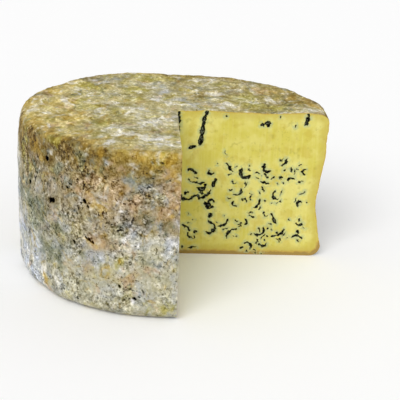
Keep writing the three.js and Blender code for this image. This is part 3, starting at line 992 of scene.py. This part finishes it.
def rind_ground(shade, on_top, under_rim, over_rim):
    """The rind's colours: broad tints, the two bands of the rim, blotches, and a cool or warm cast."""
    side = shade.blend(shade.between(shade.fact("height"), 25, 65), SIDE_LOW, SIDE_HIGH)
    ground = shade.tinted(shade.blend(on_top, side, TOP_TONE), TINTS)
    ground = shade.layered(ground, [(under_rim, 0.85, UNDER_RIM), (over_rim, 0.75, OVER_RIM)])
    ground = shade.tinted(ground, RIM_TINTS)
    for seed, (name, tint, gather, scarce, more_on_top, cover) in enumerate(BLOTCHES, BLOTCH_SEED):
        blotches = shade.noise(BLOTCH_SIZE, seed, 3.0, 0.6, RUBBED, TWIST)
        gathered = shade.mixed(shade.fact(name), gather, shade.mixed(on_top, more_on_top, blotches))
        factor = shade.between(gathered, scarce - SOFT_EDGE, scarce + SOFT_EDGE)
        ground = shade.layered(ground, [(factor, cover, screen(*tint))])
    cast = shade.blend(shade.noise(10, 41, 3.0, 0.6, RUBBED, TWIST), COOL_CAST, WARM_CAST)
    return shade.blend(1.0, ground, cast, "LINEAR_LIGHT")


def rind_light(shade, on_top, by_rim, pits):
    """How much lighter or darker the rind is for its grain, flecks, specks and cracks, with painted shade in
    its pits.
    """
    on_side, soot = shade.mixed(on_top, -1, 1), shade.fact("soot")
    busy = shade.between(shade.mixed(soot, 0.15, shade.noise(20, 23, 2.0)), 0.44, 0.64)
    strength = shade.total(0.8, (
        (shade.times(busy, on_side), 0.6),
        (by_rim, -0.2),
        (shade.between(shade.fact("height"), 50, 25), -0.3),
        (shade.maths("MAXIMUM", shade.fact("clay"), shade.fact("pearl")), -0.35),
    ))
    grains = shade.total(0.0, (
        (grain_light(shade, SIDE_GRAINS, (1, 1, 1)), on_side),
        (grain_light(shade, TOP_GRAINS, RUBBED), on_top),
        (shade.maths("SUBTRACT", 0.5, shade.crumb(1.9, 35)), shade.mixed(busy, 0.08, 0.03)),
    ))
    light = shade.mixed(grains, strength, 0.02)
    darker = shade.maths("MINIMUM", shade.times(light, DARKER_TAIL), 0.0)
    lighter = shade.maths("MAXIMUM", shade.times(light, LIGHTER_TAIL), 0.0)
    flecks = shade.between(shade.noise(2.6, 21, 1.0, 0.5, RUBBED, TWIST), 0.62, 0.76)
    sooty = shade.total(-0.25, (
        (shade.noise(6, 27), 0.5),
        (shade.noise(1.7, 22, 2.0), 1.0),
        (soot, 0.15),
        (busy, 0.03),
    ))
    web = shade.maths("ABSOLUTE", shade.mixed(shade.noise(5, 25, 2.0), 1.0, -0.5))
    cracks = shade.times(shade.between(web, 0.016, 0.006), shade.between(shade.noise(6, 26), 0.5, 0.58))
    return shade.total(light, (
        (darker, on_side),
        (lighter, on_top),
        (flecks, shade.mixed(on_top, 0.08, 0.12)),
        (shade.between(sooty, 0.67, 0.76), shade.mixed(on_top, 0.14, -0.38)),
        (shade.times(cracks, on_side), -0.24),
        # Painted shade: the rind is made darker in its pits.
        (pits, -0.65),
    ))


def rind_material():
    """A dry natural rind: grey and stone on the side, straw on the top, brown and ochre round the rim."""
    shade = Shade("rind")
    wander = shade.mixed(shade.noise(18, 1, 2.0), 16, -15)
    rim = shade.total(wander, ((shade.fact("lid"), 1), (shade.noise(5, 3, 2.0), 14)))
    on_top = shade.between(rim, -3, 3)
    under_rim = shade.times(shade.between(rim, -20, -9), shade.between(rim, 1, -3))
    over_rim = shade.times(shade.between(rim, -4, 0), shade.between(rim, 11, 3))
    # Where the pits are deep enough for painted shade to darken the rind, and for its reflection to be
    # lowered.
    pits = shade.between(shade.fact("pit"), 0.25, 0.9)
    light = rind_light(shade, on_top, shade.maths("ADD", under_rim, over_rim), pits)
    ground = rind_ground(shade, on_top, under_rim, over_rim)
    ground = shade.blend(1.0, ground, light, "ADD", clamp_result=True)
    colour = shade.add("ShaderNodeGamma", {"Color": ground, "Gamma": SCREEN_GAMMA}).outputs["Color"]
    return shade.show(
        Base_Color=colour, Roughness=0.85, Specular_IOR_Level=shade.mixed(pits, -0.3, 0.3),
        Normal=shade.bump(light, 0.4, 1.0),
    )


BUTTER = tone(211, 200, 86)
CREAM = tone(222, 213, 120)
GOLD = tone(200, 180, 62)
OLIVE = tone(168, 158, 56)
PALE = tone(232, 226, 150)
MARGIN_TONE = tone(198, 181, 78)
TAN = tone(186, 146, 62)
CRUST = tone(140, 114, 62)
MOULD = tone(6, 7, 4)
THIN_MOULD = tone(92, 92, 44)
GREY_MOULD = tone(132, 138, 114)
HALO = tone(176, 186, 138)
# Paler paste round the veins: partly pale curd and partly a painted highlight on the rims of their hollows
PALE_HALO_AND_HIGHLIGHT = tone(224, 222, 148)


def paste_material():
    """The cut paste: butter yellow with golden clouds, dark mould in its veins, paler mould and painted
    highlight by them.
    """
    shade = Shade("paste")
    vein, curd, grit = shade.fact("vein"), shade.noise(2.2, 2), shade.noise(0.9, 3, 2.0)
    streaks = shade.noise(1.6, 4, 3.0, 0.5, (1, 1, 22))
    above_base = shade.between(shade.fact("height"), 4, 14)
    edge = shade.total(-3.3, ((shade.fact("margin"), 1), (above_base, 3), (shade.noise(3, 5), 3)))
    frayed = shade.total(-0.65, ((vein, 1), (grit, 1.3)))
    mould = shade.between(frayed, 0.1, -0.2)
    # Where the paler paste round the veins lies, partly a painted highlight on the rims of their hollows
    pale_halo_and_highlight = shade.times(shade.between(vein, 4.5, 0.5), shade.between(shade.noise(4, 10), 0.46, 0.6))
    halo = shade.times(shade.between(frayed, 2.4, 0.4), shade.between(curd, 0.36, 0.6))
    middle = shade.times(shade.between(shade.fact("pale"), 0.2, 0.8), shade.between(curd, 0.3, 0.55))
    core = shade.times(shade.between(frayed, -0.4, -0.8), shade.between(shade.noise(1.1, 11), 0.5, 0.58))
    body = shade.layered(BUTTER, (
        (shade.between(shade.noise(16, 1), 0.38, 0.62), 1.0, CREAM),
        (shade.between(shade.noise(9, 7), 0.5, 0.66), 0.55, GOLD),
        (shade.between(shade.noise(4, 8), 0.58, 0.7), 0.4, OLIVE),
        (shade.between(streaks, 0.46, 0.66), 0.16, PALE),
        (shade.between(shade.noise(1.4, 9, 1.0), 0.7, 0.78), 0.4, OLIVE),
        (shade.between(edge, 8, 2.5), 0.7, MARGIN_TONE),
        (shade.between(edge, 2.4, 0.6), 0.75, TAN),
        (shade.between(edge, 0.8, 0.3), 0.6, CRUST),
        (pale_halo_and_highlight, 0.45, PALE_HALO_AND_HIGHLIGHT),
        (halo, 0.75, HALO),
        (middle, 0.85, HALO),
        (shade.between(frayed, 0.3, 0.0), 0.85, THIN_MOULD),
        (mould, 1.0, MOULD),
        (core, 0.75, GREY_MOULD),
    ))
    return shade.show(
        Base_Color=body, Roughness=0.48, Specular_IOR_Level=shade.mixed(mould, -0.35, 0.4),
        Subsurface_Weight=shade.mixed(mould, -0.2, 0.2), Subsurface_Radius=(1.0, 0.8, 0.35),
        Subsurface_Scale=0.0015, Normal=shade.bump(grit, 0.3, 0.25, shade.bump(streaks, 0.2, 0.3)),
    )


mesh = cheese_mesh()
cheese = bpy.data.objects.new("cheese", mesh)
bpy.context.scene.collection.objects.link(cheese)
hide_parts("cheese_wheel")
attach(cheese, "root")
mesh.materials.append(rind_material())
mesh.materials.append(paste_material())

# Floor and light

bpy.ops.mesh.primitive_plane_add(size=12, location=(0, 0, 0))
floor = bpy.context.object
floor.name = "floor"
floor.data.materials.append(Shade("floor").show(Base_Color=(0.97, 0.97, 0.97, 1), Roughness=1.0))

world = bpy.data.worlds.new("studio")
bpy.context.scene.world = world
world.use_nodes = True
world.node_tree.nodes["Background"].inputs["Color"].default_value = (1, 1, 1, 1)
world.node_tree.nodes["Background"].inputs["Strength"].default_value = 0.66
bpy.context.scene.view_settings.view_transform = "Standard"

LIGHT_FROM = (-0.45, -1.0, 1.05)
LIGHT_STRENGTH = 1.6
LIGHT_SOFTNESS = 40

light = bpy.data.lights.new("key", "SUN")
light.energy = LIGHT_STRENGTH
light.angle = math.radians(LIGHT_SOFTNESS)
lamp = bpy.data.objects.new("key", light)
lamp.rotation_euler = (-Vector(LIGHT_FROM)).to_track_quat("-Z", "Y").to_euler()
bpy.context.scene.collection.objects.link(lamp)

# Camera

AIM = (-0.0006, -0.0012, 0.0494)
AIM_SHOWS_AT = (171.8, 184.6)
PICTURE_WIDTH = 400
DISTANCE = 0.7128
ELEVATION = 20.30
ROLL = 2.48
SENSOR = 36
LENS = 98.3


def add_camera():
    """The camera stands at DISTANCE from AIM, turned so that AIM shows at its place in the picture."""
    elevation = math.radians(ELEVATION)
    back = Vector((0, -math.cos(elevation), math.sin(elevation)))
    right = Vector((1, 0, 0))
    up = back.cross(right)
    pixels = LENS / SENSOR * PICTURE_WIDTH
    middle = PICTURE_WIDTH / 2
    aim_right = (AIM_SHOWS_AT[0] - middle) / pixels
    aim_down = (AIM_SHOWS_AT[1] - middle) / pixels
    forward = (-back - right * aim_right + up * aim_down).normalized()
    turned = (-forward).to_track_quat("Z", "Y").to_matrix().to_4x4()
    data = bpy.data.cameras.new("camera")
    data.lens = LENS
    data.sensor_width = SENSOR
    camera = bpy.data.objects.new("camera", data)
    stand = Matrix.Translation(Vector(AIM) + back * DISTANCE)
    camera.matrix_world = stand @ turned @ Matrix.Rotation(math.radians(ROLL), 4, "Z")
    bpy.context.scene.collection.objects.link(camera)
    bpy.context.scene.camera = camera


add_camera()
